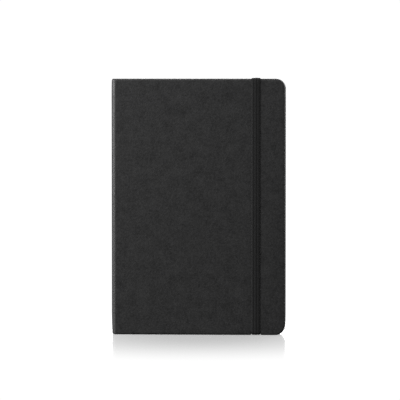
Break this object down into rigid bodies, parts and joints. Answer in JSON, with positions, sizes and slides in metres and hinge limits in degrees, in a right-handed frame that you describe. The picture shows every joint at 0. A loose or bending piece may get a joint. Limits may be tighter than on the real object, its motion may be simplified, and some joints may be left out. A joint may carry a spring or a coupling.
{
  "type": "pocket notebook",
  "caption": "Upright hardcover pocket notebook with sewn signatures, rounded fore-edge corners and a vertical elastic band that holds it shut.",
  "frame": {"origin": "centre of the bounding box, at its base, which is the plane of the tail edge that the closed notebook stands on", "axes": "+X from the spine to the fore edge, -Y is the way the front cover faces, +Z from tail to head"},
  "size_m": [0.095, 0.0154, 0.1406],
  "materials": {
    "cover_material": "matte, fine pebbled grain, slightly glossy on the edges",
    "board": "raw grey-brown board",
    "endpaper": "matte, slightly heavier than the pages",
    "page_paper": "matte, uncoated, cream",
    "lining_paper": "kraft paper",
    "mull": "open weave, glued",
    "thread": "waxed thread",
    "headband": "woven over a cord",
    "elastic": "ribbed woven elastic"
  },
  "bodies": {
    "back_cover": {"back_board": "board", "back_cover_skin": "cover_material", "back_pastedown": "endpaper", "elastic_end_tabs": "elastic"},
    "spine": {"spine_board": "board", "spine_skin": "cover_material", "front_joint_skin": "cover_material", "back_joint_skin": "cover_material", "spine_lining": "lining_paper", "mull_cloth": "mull", "sewing_thread": "thread", "headband_head": "headband", "headband_tail": "headband"},
    "front_cover": {"front_board": "board", "front_cover_skin": "cover_material", "front_pastedown": "endpaper"},
    "elastic": {"elastic_band": "elastic"},
    "front_flyleaf": {"front_flyleaf": "endpaper"},
    "signature_01": {"signature_01": "page_paper"},
    "signature_02": {"signature_02": "page_paper"},
    "signature_03": {"signature_03": "page_paper"},
    "signature_04": {"signature_04": "page_paper"},
    "signature_05": {"signature_05": "page_paper"},
    "signature_06": {"signature_06": "page_paper"},
    "signature_07": {"signature_07": "page_paper"},
    "signature_08": {"signature_08": "page_paper"},
    "signature_09": {"signature_09": "page_paper"},
    "signature_10": {"signature_10": "page_paper"},
    "signature_11": {"signature_11": "page_paper"},
    "signature_12": {"signature_12": "page_paper"},
    "back_flyleaf": {"back_flyleaf": "endpaper"}
  },
  "joints": [
    {"name": "spine_hinge", "type": "hinge", "parent": "back_cover", "child": "spine", "pos_m": [-0.04714, 0.00733, 0.07], "axis": [0, 0, -1], "range_deg": [0, 90], "deforming": ["back_joint_skin"]},
    {"name": "front_cover_hinge", "type": "hinge", "parent": "spine", "child": "front_cover", "pos_m": [-0.04714, -0.00673, 0.07], "axis": [0, 0, -1], "range_deg": [0, 90], "deforming": ["front_joint_skin"]},
    {"name": "elastic_swing", "type": "hinge", "parent": "back_cover", "child": "elastic", "pos_m": [0.0314, 0.00569, 0.07], "axis": [0, 0, 1], "range_deg": [0, 180], "deforming": ["elastic_band"]},
    {"name": "front_flyleaf_hinge", "type": "hinge", "parent": "spine", "child": "front_flyleaf", "pos_m": [-0.04489, -0.00457, 0.07], "axis": [0, 0, -1], "range_deg": [0, 90]},
    {"name": "signature_01_hinge", "type": "hinge", "parent": "spine", "child": "signature_01", "pos_m": [-0.04489, -0.0041, 0.07], "axis": [0, 0, -1], "range_deg": [0, 76.15]},
    {"name": "signature_02_hinge", "type": "hinge", "parent": "spine", "child": "signature_02", "pos_m": [-0.04489, -0.0033, 0.07], "axis": [0, 0, -1], "range_deg": [0, 62.31]},
    {"name": "signature_03_hinge", "type": "hinge", "parent": "spine", "child": "signature_03", "pos_m": [-0.04489, -0.0025, 0.07], "axis": [0, 0, -1], "range_deg": [0, 48.46]},
    {"name": "signature_04_hinge", "type": "hinge", "parent": "spine", "child": "signature_04", "pos_m": [-0.04489, -0.0017, 0.07], "axis": [0, 0, -1], "range_deg": [0, 34.62]},
    {"name": "signature_05_hinge", "type": "hinge", "parent": "spine", "child": "signature_05", "pos_m": [-0.04489, -0.0009, 0.07], "axis": [0, 0, -1], "range_deg": [0, 20.77]},
    {"name": "signature_06_hinge", "type": "hinge", "parent": "spine", "child": "signature_06", "pos_m": [-0.04489, -0.0001, 0.07], "axis": [0, 0, -1], "range_deg": [0, 6.92]},
    {"name": "signature_07_hinge", "type": "hinge", "parent": "spine", "child": "signature_07", "pos_m": [-0.04489, 0.0007, 0.07], "axis": [0, 0, -1], "range_deg": [-6.92, 0]},
    {"name": "signature_08_hinge", "type": "hinge", "parent": "spine", "child": "signature_08", "pos_m": [-0.04489, 0.0015, 0.07], "axis": [0, 0, -1], "range_deg": [-20.77, 0]},
    {"name": "signature_09_hinge", "type": "hinge", "parent": "spine", "child": "signature_09", "pos_m": [-0.04489, 0.0023, 0.07], "axis": [0, 0, -1], "range_deg": [-34.62, 0]},
    {"name": "signature_10_hinge", "type": "hinge", "parent": "spine", "child": "signature_10", "pos_m": [-0.04489, 0.0031, 0.07], "axis": [0, 0, -1], "range_deg": [-48.46, 0]},
    {"name": "signature_11_hinge", "type": "hinge", "parent": "spine", "child": "signature_11", "pos_m": [-0.04489, 0.0039, 0.07], "axis": [0, 0, -1], "range_deg": [-62.31, 0]},
    {"name": "signature_12_hinge", "type": "hinge", "parent": "spine", "child": "signature_12", "pos_m": [-0.04489, 0.0047, 0.07], "axis": [0, 0, -1], "range_deg": [-76.15, 0]},
    {"name": "back_flyleaf_hinge", "type": "hinge", "parent": "spine", "child": "back_flyleaf", "pos_m": [-0.04489, 0.00517, 0.07], "axis": [0, 0, -1], "range_deg": [-90, 0]}
  ],
  "couplings": [
    {"joint": "front_flyleaf_hinge", "follows": "front_cover_hinge", "ratio": 1},
    {"joint": "signature_01_hinge", "follows": "front_cover_hinge", "ratio": 0.84615},
    {"joint": "signature_02_hinge", "follows": "front_cover_hinge", "ratio": 0.69231},
    {"joint": "signature_03_hinge", "follows": "front_cover_hinge", "ratio": 0.53846},
    {"joint": "signature_04_hinge", "follows": "front_cover_hinge", "ratio": 0.38461},
    {"joint": "signature_05_hinge", "follows": "front_cover_hinge", "ratio": 0.23077},
    {"joint": "signature_06_hinge", "follows": "front_cover_hinge", "ratio": 0.076923},
    {"joint": "signature_07_hinge", "follows": "spine_hinge", "ratio": -0.076923},
    {"joint": "signature_08_hinge", "follows": "spine_hinge", "ratio": -0.23077},
    {"joint": "signature_09_hinge", "follows": "spine_hinge", "ratio": -0.38461},
    {"joint": "signature_10_hinge", "follows": "spine_hinge", "ratio": -0.53846},
    {"joint": "signature_11_hinge", "follows": "spine_hinge", "ratio": -0.69231},
    {"joint": "signature_12_hinge", "follows": "spine_hinge", "ratio": -0.84615},
    {"joint": "back_flyleaf_hinge", "follows": "spine_hinge", "ratio": -1}
  ]
}
